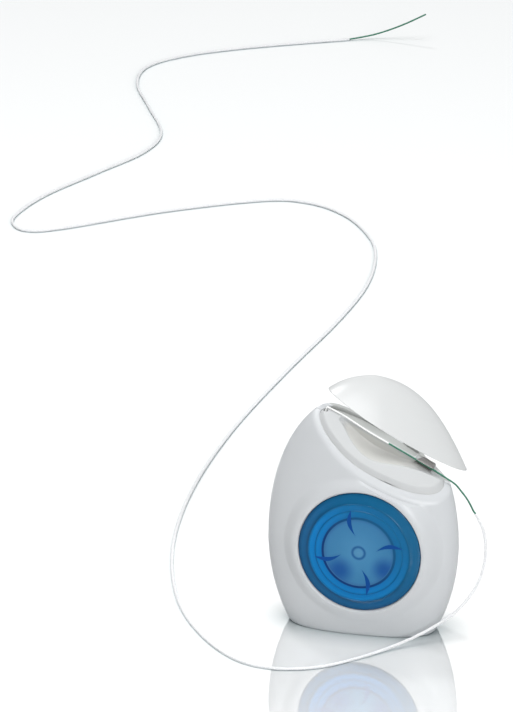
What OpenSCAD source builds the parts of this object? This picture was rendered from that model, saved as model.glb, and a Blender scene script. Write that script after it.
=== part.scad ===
// Pocket dental floss dispenser: egg shaped case, flip lid, bobbin behind a round window, floss drawn out.
// X is to the right, Y to the back, Z up. The origin is the middle of the foot, on the surface it stands on.

/* [Case] */
// Width of the closed case
case_w = 45.6; // [45:0.1:46.6]
// Depth of the case at its belly
case_d = 16.8; // [16.4:0.1:17.4]
// Height of the widest part above the foot
belly_z = 22; // [21.5:0.1:22.5]
// Height of the crown above the widest part
crown_rise = 36; // [35.6:0.1:36.6]
// Thickness of the moulded walls
wall = 1.3; // [1.1:0.05:1.4]

/* [Lid] */
// Slope of the line between the lid's two tips, in degrees
lid_slope = 26.9; // [26:0.1:28]
// Tilt of the rim towards the front, in degrees
rim_tilt = 41; // [40:0.5:42]
// Angle that the lid stands open at rest, in degrees
lid_open = 52; // [40:1:60]
// Thickness of the lid's wall
lid_wall = 1.1; // [1:0.05:1.2]
// How far the lid's right tip stands out past the case, as a grip for a finger
lid_grip = 1.2; // [0.6:0.1:1.4]
// Radius of the lid's hinge trunnions
trunnion_r = 0.7; // [0.6:0.05:0.8]

/* [Window] */
// Diameter of the round window
window_d = 29.4; // [29:0.1:29.6]
// Place of the window's middle to the right of the foot's middle
window_x = 1; // [0.8:0.1:1.2]
// Height of the window's middle
window_z = 21.5; // [21.2:0.1:21.8]

/* [Bobbin] */
// Radius of the spindle that the bobbin turns on
spindle_r = 1.4; // [1.3:0.05:1.5]
// Radius of the bobbin's drum
drum_r = 8.9; // [8.8:0.1:9]
// Radius of the floss wound on the bobbin
winding_r = 12.2; // [11.4:0.1:12.4]
// Loops in the outer layer of the floss wound on the bobbin
winding_loops = 11; // [6:1:11]

/* [Floss] */
// Diameter of the thin end of the floss
lead_d = 0.34; // [0.3:0.02:0.4]
// Diameter of the stiffened threading ends
threader_d = 0.44; // [0.4:0.02:0.5]
// Diameter of the spongy floss
floss_d = 0.7; // [0.6:0.02:0.74]

/* [Hidden] */
$fn = 64;

// The case in plan is a superellipse, squarer at the foot and more pointed towards the crown
foot_rise = 34.4;
crown_power = 2.07;
foot_power = 2.5;
tip_power = 1.6;
foot_fullness = 0.45;
grip_z = 36;
grip_h = 14;
edge_round = 0.7;

// Middle of the line between the lid's tips, seen from the front
tip_mid_x = 4.7;
tip_mid_z = 45.35;
seam_gap = 0.1;
lid_gap = 0.25;
neck_inset = 1.5;
neck_rise = 0.9;
deck_drop = 1.5;
deck_wall = 1.2;

// Behind the tips the rim slopes less, and a tongue of the rear shell stands up there to the hinge
rear_tilt = 16;
tongue_half = 8;
tongue_top = 3;

// Hinge axis, measured from the tip line: back and up
hinge_y = 5.7;
hinge_z = 2.4;
knuckle_r = 1.25;
knuckle_half = 3.4;
ear_w = 2;
ear_gap = 0.2;
ear_web = 3.4;
ear_root = 0.6;
lug_rise = 1.8;
lug_in = 1.65;
hinge_relief = 0.3;
running_gap = 0.05;
hinge_top = 9;
ear_x = knuckle_half + ear_gap + ear_w / 2;
trunnion_end = knuckle_half + ear_gap + ear_w;

// Window, measured forwards from the middle plane
ledge_y = 7;
ledge_r = 13.4;
collar_r = 17.8;
collar_back = 5.6;
collar_y = 8.35;
window_back = 7.05;
window_edge = 8.4;
window_face = 8.95;
window_gap = 0.2;
skirt_back = 5.9;
fin_back = 6.15;
fin_count = 4;

// Bobbin, measured forwards from the middle plane
drum_front = 5.6;
drum_back = -5.4;
flange_w = 0.8;
flange_r = 12.9;
web_front = 4.9;
web_w = 0.8;
sleeve_r = 2.6;
boss_r = 3.4;
post_root = -7.4;
spindle_gap = 0.3;
rim_w = 0.4;

// Outer layer of the floss on the bobbin: thread, rings to a loop, and how deep it lies in the core
winding_d = 0.42;
winding_steps = 24;
winding_bed = 0.1;

// Finger hollow under the floss: its two ends and the depth it is cut to at places along the tip line
hollow_from = -12.3;
hollow_to = 16.9;
hollow_cut = [[-11.8, 0.4], [-10.4, 1.25], [-9, 2.35], [-7.4, 3.3], [-6, 4.05], [-4.5, 4.75], [-3, 5.15],
              [-1.2, 5.3], [0.5, 5.1], [2.4, 4.5], [4.9, 3.5], [7.4, 2.5], [10.7, 1.6], [12.6, 1.2],
              [14.9, 0.9], [16.4, 0.6]];
hollow_axis = 0.3;
hollow_up = 1;
hollow_back = 0.9;

// Cutter clip, a folded sheet along the tip line, let into the deck
clip_x = 10.3;
clip_y = 0.1;
clip_len = 4.6;
clip_w = 2.2;
clip_taper = 1.6;
clip_sheet = 0.3;
clip_seat = 0.5;
clip_rise = 1.2;
clip_slit = 0.5;
clip_gap = 0.1;
clip_block = 0.3;

// Hole that the floss comes up through, and the groove that it leaves by
exit_hole_r = 0.55;
groove_r = 0.5;

// Notch in the lid's right tip that the floss leaves by when the lid is shut
notch_x = 15;
notch_y = 0.15;
notch_w = 1.3;
notch_top = 1.4;

// Snap posts that join the two shells: x, z, and how far the wall is from the middle plane
posts = [[-13, 5.2, 5.6], [14, 5.2, 5.2], [-15, 40, 3.4], [17.6, 30, 4.2]];
post_r = 0.9;
post_fit = 0.03;
socket_r = 1.8;
socket_depth = 3;
post_reach = 2.6;

// Routes of the floss, points chosen by hand in the frame of the part
lead_route = [[-11.5, 0.4, 23], [-11.4, 0.4, 34], [-10.9, 0.3, 44], [-10, 0.15, 49], [-9.35, 0, 52],
              [-9.13, -0.03, 53.35], [-9.04, -0.04, 53.68], [-8.87, -0.05, 53.84], [-8.65, -0.06, 53.88],
              [-8.44, -0.06, 53.82], [-7.21, 0.02, 53.2], [-4.79, 0.1, 52.02], [-2.02, 0.02, 50.44],
              [0.85, -0.09, 48.82], [3.4, -0.09, 47.5], [5.98, -0.09, 46.18]];
near_route = [[5.98, -0.09, 46.18], [9.75, -0.09, 44.26], [12.78, -0.1, 42.71], [16.34, -0.12, 40.89],
              [20.02, -0.25, 38.85], [22, 0.05, 37.45], [23.4, 0.05, 35.9], [25.05, 0, 33.8],
              [26.4, -0.15, 31.4], [27, -0.2, 30.6]];
free_route = [[27, -0.2, 30.6], [29, 0, 26], [29.5, -0.6, 20], [27.8, -2.2, 13.2], [23.4, -4.9, 7.2],
              [17.2, -8.6, 3.2], [11, -13.6, 1], [4.6, -21, 0.4], [-3.5, -29, 0.4], [-13.5, -32.4, 0.4],
              [-23.5, -29.4, 0.4], [-34, -18.6, 0.4], [-44, -2, 0.4], [-52, 20, 0.4], [-57.5, 45, 0.4],
              [-60.5, 76, 0.4], [-60.5, 112, 0.4], [-57.5, 152, 0.4], [-53.5, 190, 0.4], [-52.5, 218, 0.4],
              [-56, 241.5, 0.4], [-62.5, 256.5, 0.4], [-72, 268.5, 0.4], [-83, 274.5, 0.4], [-95, 273, 0.4],
              [-118, 258.5, 0.4], [-141, 239, 0.4], [-149.5, 235, 0.4], [-154.5, 239, 0.4], [-155.5, 247, 0.4],
              [-152, 263, 0.4], [-143, 284, 0.4], [-135.5, 302, 0.4], [-135, 318, 0.4], [-144, 338, 0.4],
              [-152, 355.5, 0.4], [-153, 370, 0.4], [-145, 382, 0.4], [-129, 393.5, 0.4], [-104, 407, 0.4]];
tail_route = [[-104, 407, 0.4], [-97, 409.8, 1.6], [-89.4, 410.4, 4.8], [-82.8, 410.7, 8.4]];

// Half widths, depths and shape of the case at a height, for a surface a distance in from the outside
function girth(z, inset) = z > belly_z
    ? pow(max(0, 1 - pow((z - belly_z) / (crown_rise - inset), crown_power)), 1 / crown_power)
    : sqrt(1 - pow((belly_z - z) / foot_rise, 2));
function depth_share(z, inset) = z > belly_z ? girth(z, inset)
    : girth(z, inset) + (1 - girth(z, inset)) * foot_fullness;
function plan_power(z) = foot_power + (tip_power - foot_power) * min(1, max(0, (z - 20) / 26));
function grip_out(z, a, grip) = grip * pow(max(0, cos(a)), 4)
    * pow(min(1, max(0, 1 - (z - grip_z) / grip_h)), 2);
function signed_pow(v, e) = sign(v) * pow(abs(v), e);
function case_point(z, inset, a, shrink, grip) = let (e = 2 / plan_power(z))
    [grip_out(z, a, grip) + (case_w / 2 - inset) * girth(z, inset) * shrink * signed_pow(cos(a), e),
     (case_d / 2 - inset) * depth_share(z, inset) * shrink * signed_pow(sin(a), e), z];

// Closed solid of the whole egg, drawn in by an inset and standing a distance off the floor
module egg(inset, lift, sides, levels, grip = 0) {
    foot = [for (i = [0 : 2]) [lift + edge_round * (1 - cos(45 * i)), 1 - 0.03 * (1 - sin(45 * i))]];
    low = [for (i = [1 : levels]) [lift + edge_round + (belly_z - lift - edge_round) * i / levels, 1]];
    high = [for (i = [1 : levels + 3]) let (a = 90 * i / (levels + 4))
            [belly_z + (crown_rise - inset) * sin(a), 1]];
    rows = concat(foot, low, high);
    count = len(rows);
    points = concat(
        [for (r = rows) for (j = [0 : sides - 1]) case_point(r[0], inset, 360 * j / sides, r[1], grip)],
        [[0, 0, lift], [0, 0, belly_z + crown_rise - inset]]);
    base = count * sides;
    last = base - sides;
    faces = concat(
        [for (i = [0 : count - 2]) for (j = [0 : sides - 1]) let (k = (j + 1) % sides)
            [i * sides + j, (i + 1) * sides + j, i * sides + k]],
        [for (i = [0 : count - 2]) for (j = [0 : sides - 1]) let (k = (j + 1) % sides)
            [i * sides + k, (i + 1) * sides + j, (i + 1) * sides + k]],
        [for (j = [0 : sides - 1]) [base, j, (j + 1) % sides]],
        [for (j = [0 : sides - 1]) [base + 1, last + (j + 1) % sides, last + j]]);
    polyhedron(points = points, faces = faces);
}

// Frame of the line between the lid's tips
module on_tip_line() translate([tip_mid_x, 0, tip_mid_z]) rotate([0, lid_slope, 0]) children();

// Frame of the rim: X along the tip line, Y up to the back, Z out of the rim
module on_rim() on_tip_line() rotate([rim_tilt, 0, 0]) children();

// Everything between two heights above the rim
module rim_slab(low, high) on_rim() translate([-40, -60, low]) cube([80, 120, high - low]);

// Everything above the rim of the case, raised by a gap, less the tongue that carries the hinge
module above_rim(gap) {
    rim_slab(gap, 60);
    on_tip_line() difference() {
        rotate([rear_tilt, 0, 0]) translate([-40, -60, gap]) cube([80, 120, 60]);
        translate([-tongue_half - gap, -60, -60]) cube([2 * (tongue_half + gap), 120, 60 + tongue_top + gap]);
    }
}

// Everything below the neck at a height over the rim: tilted in front of the tips and level behind them
module below_neck(high) intersection() {
    rim_slab(-40, high);
    on_tip_line() translate([-40, -60, -60]) cube([80, 120, 60 + high / cos(rim_tilt)]);
}

// Frame of the window and the bobbin: Z is forwards along their axis
module on_window_axis() translate([window_x, 0, window_z]) rotate([90, 0, 0]) children();

// Ring round the axis between two radii and two heights
module ring(inner, outer, low, high) translate([0, 0, low]) difference() {
    cylinder(r = outer, h = high - low);
    translate([0, 0, -1]) cylinder(r = inner, h = high - low + 2);
}

// Bar round the hinge axis, as far to each side of the hinge's middle as half says
module hinge_bar(r, half) on_hinge(0) cylinder(r = r, h = 2 * half, center = true);

// Rod from one point to another, carried on past the second by an extra length
module rod(from, to, r, extra = 0) {
    way = to - from;
    translate(from) rotate([0, acos(way[2] / norm(way)), atan2(way[1], way[0])])
        cylinder(r = r, h = norm(way) + extra);
}

// Groove that the floss leaves by, from behind the clip to the open air past the right tip
module floss_groove() rod(near_route[3], near_route[4], groove_r, 3);

module shell_wall() difference() {
    egg(0, 0, 40, 10);
    egg(wall, wall, 32, 8);
}

module at_post(p) translate([p[0], 0, p[1]]) rotate([90, 0, 0]) children();

// Raised ring round the window: a ledge inside that the window sits on, and a soft swell outside
module window_collar() on_window_axis() rotate_extrude($fn = 96) polygon([
    [ledge_r, collar_back], [collar_r - 2.1, collar_back], [collar_r - 2.1, collar_back + 0.8],
    [collar_r, collar_back + 0.8], [collar_r - 0.7, collar_back + 1.6], [collar_r - 1.6, collar_y - 0.3],
    [collar_r - 2.2, collar_y - 0.05], [collar_r - 2.7, collar_y], [ledge_r, collar_y]]);

module window_hole() on_window_axis() {
    translate([0, 0, collar_back - 3]) cylinder(r = ledge_r, h = 12, $fn = 96);
    translate([0, 0, ledge_y]) cylinder(r = window_d / 2 + window_gap, h = 8, $fn = 96);
}

module front_shell() color("white") {
    difference() {
        intersection() {
            union() {
                shell_wall();
                window_collar();
            }
            translate([-40, -30 - seam_gap / 2, -1]) cube([80, 30, 80]);
            rim_slab(-80, 0);
        }
        window_hole();
        floss_groove();
    }
    for (p = posts) at_post(p) translate([0, 0, -post_reach]) cylinder(r = post_r, h = post_reach + p[2]);
}

module rear_shell() color("white") {
    difference() {
        union() {
            intersection() {
                shell_wall();
                translate([-40, seam_gap / 2, -1]) cube([80, 30, 80]);
            }
            for (side = [-1, 1]) hinge_ear(side);
        }
        difference() {
            above_rim(0);
            for (side = [-1, 1]) on_hinge(side * ear_x) cylinder(r = knuckle_r, h = ear_w, center = true);
        }
        beside_hinge(0, knuckle_half + ear_gap, hinge_z - knuckle_r - hinge_relief, hinge_top);
        hinge_bar(trunnion_r + running_gap, trunnion_end + running_gap);
        floss_groove();
    }
    on_window_axis() translate([0, 0, post_root]) {
        cylinder(r = boss_r, h = drum_back - running_gap * 4 - post_root);
        cylinder(r = spindle_r, h = window_back - spindle_gap - post_root);
    }
    for (p = posts) at_post(p) difference() {
        translate([0, 0, -p[2]]) cylinder(r = socket_r, h = p[2] - seam_gap / 2);
        translate([0, 0, -socket_depth]) cylinder(r = post_r + post_fit, h = socket_depth + 1);
    }
}

// Frame of the hinge at a place along it: Z along the axis, X down
module on_hinge(x) on_tip_line() translate([x, hinge_y, hinge_z]) rotate([0, 90, 0]) children();

// Block through the rear wall at the hinge, centred at x, between two heights
module beside_hinge(x, half, low, high) on_tip_line() translate([x - half, 0, low])
    cube([2 * half, 12, high - low]);

// One ear of the hinge with the web that ties it to the wall
module hinge_ear(side) on_hinge(side * ear_x) {
    cylinder(r = knuckle_r, h = ear_w, center = true);
    translate([0, -ear_root, -ear_w / 2]) cube([ear_web, 2 * ear_root, ear_w]);
}

module lid_closed() {
    difference() {
        union() {
            intersection() {
                difference() {
                    egg(0, 0, 40, 10, lid_grip);
                    egg(lid_wall, wall, 32, 8, lid_grip);
                }
                above_rim(lid_gap);
            }
            hinge_bar(knuckle_r, knuckle_half);
            on_tip_line() translate([-knuckle_half, hinge_y - lug_in, hinge_z])
                cube([2 * knuckle_half, lug_in, lug_rise]);
        }
        for (side = [-1, 1])
            beside_hinge(side * ear_x, ear_w / 2 + ear_gap, -10, hinge_z + knuckle_r + hinge_relief);
        on_tip_line() translate([notch_x, notch_y - notch_w / 2, -notch_top])
            cube([2 * notch_x, notch_w, 2 * notch_top]);
    }
    hinge_bar(trunnion_r, trunnion_end);
}

module lid() color("white") on_tip_line() translate([0, hinge_y, hinge_z]) rotate([-lid_open, 0, 0])
    translate([0, -hinge_y, -hinge_z]) rotate([0, -lid_slope, 0]) translate([-tip_mid_x, 0, -tip_mid_z])
        lid_closed();

// Hollow for a finger, turned about a line along the tips, with its back wall behind that line
module finger_hollow(wider) on_rim() intersection() {
    translate([0, hollow_axis, hollow_up]) rotate([0, 90, 0]) rotate_extrude($fn = 72)
        polygon(concat([[0, hollow_from - wider]], [for (c = hollow_cut) [c[1] + wider, c[0]]],
                       [[0, hollow_to + wider]]));
    translate([-40, -40, -40]) cube([80, 40 + hollow_back + wider, 80]);
}

// Insert that closes the case under the lid: a plate with a bowl for the finger and a block for the clip
module top_deck() color("whitesmoke") difference() {
    intersection() {
        egg(neck_inset, wall, 32, 8);
        union() {
            difference() {
                below_neck(neck_rise);
                below_neck(-deck_drop);
            }
            intersection() {
                finger_hollow(deck_wall);
                below_neck(0);
            }
            on_clip() translate([-clip_block, hollow_back - clip_y, -clip_block])
                cube([clip_len + 2 * clip_block, clip_w + clip_y + clip_block - hollow_back, 2 * clip_block]);
        }
    }
    finger_hollow(0);
    on_window_axis() translate([0, 0, collar_back - window_gap]) cylinder(r = collar_r + window_gap, h = 9);
    rod(lead_route[2], lead_route[5], exit_hole_r, 1);
    on_clip() translate([-clip_gap, -clip_gap, 0])
        cube([clip_len + 2 * clip_gap, clip_w + 2 * clip_gap, clip_rise]);
    floss_groove();
}

// Frame of the clip: its left front corner on the seat in the deck
module on_clip() on_rim() translate([clip_x - clip_len / 2, clip_y, clip_seat]) children();

// Leaf of the clip from its slit edge to its fold, narrower at the fold
module clip_leaf(front, low) translate([0, 0, low]) linear_extrude(clip_sheet) polygon([
    [clip_taper * front / clip_w, front], [clip_len, front], [clip_len, clip_w], [clip_taper, clip_w]]);

module cutter_clip() color("silver") on_clip() {
    clip_leaf(0, 0);
    clip_leaf(clip_slit, clip_rise - clip_sheet);
    translate([clip_taper, clip_w - clip_sheet, 0]) cube([clip_len - clip_taper, clip_sheet, clip_rise]);
}

// Thin curved fin on the window's back, drawn as two arcs that meet in points
module window_fin() {
    from = 4.2;
    to = 10.8;
    bow = 1.3;
    steps = 10;
    side = function (b, i) [from + (to - from) * i / steps, b * sin(180 * i / steps)];
    polygon(concat([for (i = [0 : steps]) side(bow, i)], [for (i = [steps - 1 : -1 : 1]) side(bow - 0.7, i)]));
}

module window() color([0.1, 0.45, 0.72, 0.6]) on_window_axis() {
    rotate_extrude($fn = 96) polygon([
        [0, window_back], [window_d / 2, window_back], [window_d / 2, window_edge - 0.2],
        [window_d / 2 - 0.2, window_edge], [12.5, window_face - 0.1], [12.3, window_face],
        [12.1, window_face - 0.15], [10.5, window_face - 0.15], [10.35, window_face], [0, window_face]]);
    ring(drum_r - 0.5, drum_r, skirt_back, window_back + 0.1);
    ring(spindle_r + 0.1, spindle_r + 0.7, fin_back, window_back + 0.1);
    for (i = [0 : fin_count - 1]) rotate([0, 0, 100 + 360 * i / fin_count])
        translate([0, 0, fin_back]) linear_extrude(window_back + 0.1 - fin_back) window_fin();
}

module bobbin() color("white") on_window_axis() {
    ring(drum_r - 0.7, drum_r, drum_back, drum_front);
    ring(drum_r - 0.1, flange_r, drum_back, drum_back + flange_w);
    ring(drum_r - 0.1, drum_r + 0.5, drum_front - rim_w, drum_front);
    ring(sleeve_r - 0.1, drum_r - 0.6, web_front - web_w, web_front);
    ring(spindle_r + running_gap, sleeve_r, drum_back, drum_front);
}

// Outer layer of the winding: loops side by side along the drum, with a straight end at each side
function winding_route() =
    let (r = winding_r - winding_d / 2, count = winding_loops * winding_steps,
        low = drum_back + flange_w + winding_d / 2 + 0.03, high = drum_front - rim_w - winding_d / 2 - 0.03,
        turns = [for (i = [0 : count]) let (a = 180 + 360 * i / winding_steps)
            [r * cos(a), r * sin(a), low + (high - low) * i / count]])
    concat([turns[0] - winding_d * heading(turns, 0)], turns,
           [turns[count] + winding_d * heading(turns, count)]);

// Least distance between two stretches of a route that lie half a loop apart or more, less the thread
function least_gap(p, d, apart) = min([for (i = [0 : len(p) - 1 - apart])
    min([for (j = [i + apart : len(p) - 1]) norm(p[i] - p[j])])]) - d;

module floss_winding() color("white") on_window_axis() {
    route = winding_route();
    ring(drum_r, winding_r - winding_d + winding_bed, drum_back + flange_w, drum_front - rim_w);
    tube(route, winding_d, 6);
    gap = least_gap(route, winding_d, winding_steps / 2);
    echo(str("least gap between the loops of the winding: ", gap, " mm"));
}

// Smooth curve through the points of a route, with a number of steps between each pair
function between(a, b, c, d, t) = 0.5 * (2 * b + (c - a) * t + (2 * a - 5 * b + 4 * c - d) * t * t
    + (3 * b - a - 3 * c + d) * t * t * t);
function smooth_route(p, steps) = let (n = len(p)) concat(
    [for (i = [0 : n - 2]) for (k = [0 : steps - 1])
        between(p[max(i - 1, 0)], p[i], p[i + 1], p[min(i + 2, n - 1)], k / steps)], [p[n - 1]]);
function unit(v) = v / norm(v);
function heading(p, i) = unit(p[min(i + 1, len(p) - 1)] - p[max(i - 1, 0)]);
function turned(side, way) = unit(side - (side * way) * way);
function sides_along(p, start) = [for (i = 0, s = turned(start, heading(p, 0)); i < len(p);
    i = i + 1, s = turned(s, heading(p, min(i, len(p) - 1)))) s];

// Round tube swept along a list of points, with flat ends
module tube(p, d, sides) {
    across = sides_along(p, [0.31, 0.95, 0.05]);
    n = len(p);
    points = concat(
        [for (i = [0 : n - 1]) let (t = heading(p, i), s = across[i], u = cross(t, s))
            for (j = [0 : sides - 1]) p[i] + d / 2 * (cos(360 * j / sides) * s + sin(360 * j / sides) * u)],
        [p[0], p[n - 1]]);
    faces = concat(
        [for (i = [0 : n - 2]) for (j = [0 : sides - 1]) let (k = (j + 1) % sides)
            [i * sides + j, (i + 1) * sides + j, (i + 1) * sides + k]],
        [for (i = [0 : n - 2]) for (j = [0 : sides - 1]) let (k = (j + 1) % sides)
            [i * sides + j, (i + 1) * sides + k, i * sides + k]],
        [for (j = [0 : sides - 1]) [n * sides, j, (j + 1) % sides]],
        [for (j = [0 : sides - 1]) [n * sides + 1, (n - 1) * sides + (j + 1) % sides, (n - 1) * sides + j]]);
    polyhedron(points = points, faces = faces);
}

module floss_lead() color("white") tube(smooth_route(lead_route, 1), lead_d, 8);
module threader_near() color("darkgreen") tube(smooth_route(near_route, 2), threader_d, 8);
module floss_free() color("white") tube(smooth_route(free_route, 1), floss_d, 8);
module threader_tail() color("darkgreen") tube(smooth_route(tail_route, 2), threader_d, 8);

front_shell();
rear_shell();
window();
bobbin();
floss_winding();
top_deck();
cutter_clip();
lid();
floss_lead();
threader_near();
floss_free();
threader_tail();
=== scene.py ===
import math
import bpy
import bmesh
import numpy as np
from mathutils import Matrix, Vector


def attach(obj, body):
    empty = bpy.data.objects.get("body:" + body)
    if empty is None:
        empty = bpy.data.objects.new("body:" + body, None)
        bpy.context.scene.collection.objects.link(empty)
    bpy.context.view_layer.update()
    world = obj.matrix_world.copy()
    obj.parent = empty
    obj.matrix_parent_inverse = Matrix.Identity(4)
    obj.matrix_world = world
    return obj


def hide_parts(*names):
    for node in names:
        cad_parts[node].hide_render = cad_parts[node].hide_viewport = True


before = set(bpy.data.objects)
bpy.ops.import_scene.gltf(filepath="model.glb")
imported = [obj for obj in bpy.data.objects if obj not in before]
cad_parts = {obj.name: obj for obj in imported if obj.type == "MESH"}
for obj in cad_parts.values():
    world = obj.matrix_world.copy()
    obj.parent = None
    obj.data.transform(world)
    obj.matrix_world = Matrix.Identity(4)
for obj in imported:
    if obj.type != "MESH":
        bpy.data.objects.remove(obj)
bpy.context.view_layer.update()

# ---------------------------------------------------------------- camera
# Azimuth and elevation, distance in metres, and focal length in pixels of a picture 712 pixels tall
AZ, EL, D, F = math.radians(13.7), math.radians(23.0), 2.0, 8474.0
AIM_X, AIM_Y = 106.5, 266.5     # pixels from the picture's middle to the middle of the foot, right and down
cam = bpy.data.objects.new("cam", bpy.data.cameras.new("cam"))
bpy.context.scene.collection.objects.link(cam)
cam.location = (D * math.sin(AZ) * math.cos(EL), -D * math.cos(AZ) * math.cos(EL), D * math.sin(EL))
cam.rotation_euler = (math.pi / 2 - (EL - math.atan(AIM_Y / F)), 0, AZ + math.atan(AIM_X / F) / math.cos(EL))
cam.data.lens = F * 36 / 712
cam.data.clip_start, cam.data.clip_end = 0.1, 10
bpy.context.scene.camera = cam
bpy.context.scene.view_settings.view_transform = "Standard"

# ---------------------------------------------------------------- dimensions in mm, as in the part's source
CASE_W, CASE_D, BELLY, CROWN, WALL = 45.6, 16.8, 22.0, 36.0, 1.3
CROWN_POWER, FOOT_SWEEP = 2.07, 34.4        # curve of the sides over the belly, and reach of the ellipse below it
LID_GRIP, GRIP_Z, GRIP_H = 1.2, 36, 14      # how far the lid's right tip flares, and over what height
SLOPE, TILT, REAR_TILT, LID_OPEN = map(math.radians, (26.9, 41.0, 16.0, 52.0))
MID = np.array([4.7, 0, 45.35])
E1 = np.array([math.cos(SLOPE), 0, -math.sin(SLOPE)])
E3 = np.array([math.sin(SLOPE), 0, math.cos(SLOPE)])
EY = np.array([0.0, 1, 0])
RY = math.cos(TILT) * EY + math.sin(TILT) * E3
RZ = -math.sin(TILT) * EY + math.cos(TILT) * E3
HINGE_Y, HINGE_Z = 5.7, 2.4
KNUCKLE_R, KNUCKLE_HALF, EAR_W, EAR_GAP = 1.25, 3.4, 2.0, 0.2
EAR_X = KNUCKLE_HALF + EAR_GAP + EAR_W / 2
TRUNNION_R, TRUNNION_HALF, BORE_R = 0.7, 5.6, 0.75
TONGUE_HALF, TONGUE_TOP, LID_GAP, LID_WALL = 8.0, 3.0, 0.25, 1.1
WIN_X, WIN_Z, WIN_R, HOLE_R = 1.0, 21.5, 14.7, 13.4
SEAM = 0.05                                 # half the gap between the two shells
FLOSS_R, LEAD_R, GREEN_R, WOUND_R = 0.35, 0.17, 0.22, 0.21
POSTS = ((-13, 5.2, 5.6), (14, 5.2, 5.2), (-15, 40, 3.4), (17.6, 30, 4.2))      # x, z and reach
# Routes of the floss: from the bobbin to the clip, over the shoulder, along the table, and its end
LEAD = [[-11.5, 0.4, 23], [-11.4, 0.4, 34], [-10.9, 0.3, 44], [-10, 0.15, 49], [-9.35, 0, 52],
        [-9.13, -0.03, 53.35], [-9.04, -0.04, 53.68], [-8.87, -0.05, 53.84], [-8.65, -0.06, 53.88],
        [-8.44, -0.06, 53.82], [-7.21, 0.02, 53.2], [-4.79, 0.1, 52.02], [-2.02, 0.02, 50.44],
        [0.85, -0.09, 48.82], [3.4, -0.09, 47.5], [5.98, -0.09, 46.18]]
NEAR = [[5.98, -0.09, 46.18], [9.75, -0.09, 44.26], [12.78, -0.1, 42.71], [16.34, -0.12, 40.89],
        [20.02, -0.25, 38.85], [22, 0.05, 37.45], [23.4, 0.05, 35.9], [25.05, 0, 33.8],
        [26.4, -0.15, 31.4], [27, -0.2, 30.6]]
FREE = [[27, -0.2, 30.6], [29, 0, 26], [29.5, -0.6, 20], [27.8, -2.2, 13.2], [23.4, -4.9, 7.2],
        [17.2, -8.6, 3.2], [11, -13.6, 1], [4.6, -21, 0.4], [-3.5, -29, 0.4], [-13.5, -32.4, 0.4],
        [-23.5, -29.4, 0.4], [-34, -18.6, 0.4], [-44, -2, 0.4], [-52, 20, 0.4], [-57.5, 45, 0.4],
        [-60.5, 76, 0.4], [-60.5, 112, 0.4], [-57.5, 152, 0.4], [-53.5, 190, 0.4], [-52.5, 218, 0.4],
        [-56, 241.5, 0.4], [-62.5, 256.5, 0.4], [-72, 268.5, 0.4], [-83, 274.5, 0.4], [-95, 273, 0.4],
        [-118, 258.5, 0.4], [-141, 239, 0.4], [-149.5, 235, 0.4], [-154.5, 239, 0.4], [-155.5, 247, 0.4],
        [-152, 263, 0.4], [-143, 284, 0.4], [-135.5, 302, 0.4], [-135, 318, 0.4], [-144, 338, 0.4],
        [-152, 355.5, 0.4], [-153, 370, 0.4], [-145, 382, 0.4], [-129, 393.5, 0.4], [-104, 407, 0.4]]
TAIL = [[-104, 407, 0.4], [-97, 409.8, 1.6], [-89.4, 410.4, 4.8], [-82.8, 410.7, 8.4]]


# ---------------------------------------------------------------- mesh helpers
def mesh_object(name, verts, faces, smooth=True):
    me = bpy.data.meshes.new(name)
    me.from_pydata([tuple(map(float, v)) for v in verts], [], [tuple(map(int, f)) for f in faces])
    me.update()
    if smooth:
        me.shade_smooth()
    ob = bpy.data.objects.new(name, me)
    bpy.context.scene.collection.objects.link(ob)
    return ob


def apply_modifiers(ob):
    """The object with its modifiers worked into its mesh."""
    graph = bpy.context.evaluated_depsgraph_get()
    graph.update()
    me = bpy.data.meshes.new_from_object(ob.evaluated_get(graph))
    old = ob.data
    ob.modifiers.clear()
    ob.data = me
    bpy.data.meshes.remove(old)
    return ob


def boolean(ob, other, op="DIFFERENCE"):
    """The first object cut by, joined with or kept within the other, which is used up."""
    mod = ob.modifiers.new("cut", "BOOLEAN")
    mod.operation, mod.solver, mod.object = op, "MANIFOLD", other
    apply_modifiers(ob)
    bpy.data.objects.remove(other)
    return ob


def soften(ob, voxel, rounds):
    """Remeshed at an even size and smoothed, which rounds every edge."""
    mod = ob.modifiers.new("remesh", "REMESH")
    mod.mode, mod.voxel_size, mod.use_smooth_shade = "VOXEL", voxel, True
    mod = ob.modifiers.new("smooth", "SMOOTH")
    mod.factor, mod.iterations = 0.5, rounds
    return apply_modifiers(ob)


def bevel(ob, width, segments=3, angle=30):
    mod = ob.modifiers.new("bevel", "BEVEL")
    mod.width, mod.segments, mod.limit_method, mod.angle_limit = width, segments, "ANGLE", math.radians(angle)
    apply_modifiers(ob)
    ob.data.shade_smooth()
    return ob


def join(name, parts):
    """One object from several, which are used up."""
    bm = bmesh.new()
    for part in parts:
        bm.from_mesh(part.data)
        bpy.data.objects.remove(part)
    me = bpy.data.meshes.new(name)
    bm.to_mesh(me)
    bm.free()
    me.shade_smooth()
    ob = bpy.data.objects.new(name, me)
    bpy.context.scene.collection.objects.link(ob)
    return ob


def sharp_by_angle(ob, degrees):
    """Edges that bend by more than an angle shade as sharp ones."""
    bm = bmesh.new()
    bm.from_mesh(ob.data)
    limit = math.radians(degrees)
    for e in bm.edges:
        e.smooth = not (len(e.link_faces) == 2 and e.calc_face_angle(0) > limit)
    bm.to_mesh(ob.data)
    bm.free()
    return ob


def clean(ob, distance=1e-4):
    """Merged points, no slivers, and faces that all look outwards."""
    bm = bmesh.new()
    bm.from_mesh(ob.data)
    bmesh.ops.remove_doubles(bm, verts=bm.verts, dist=distance)
    bmesh.ops.dissolve_degenerate(bm, dist=distance / 10, edges=bm.edges)
    bmesh.ops.recalc_face_normals(bm, faces=bm.faces)
    bm.to_mesh(ob.data)
    bm.free()
    return ob


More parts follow.
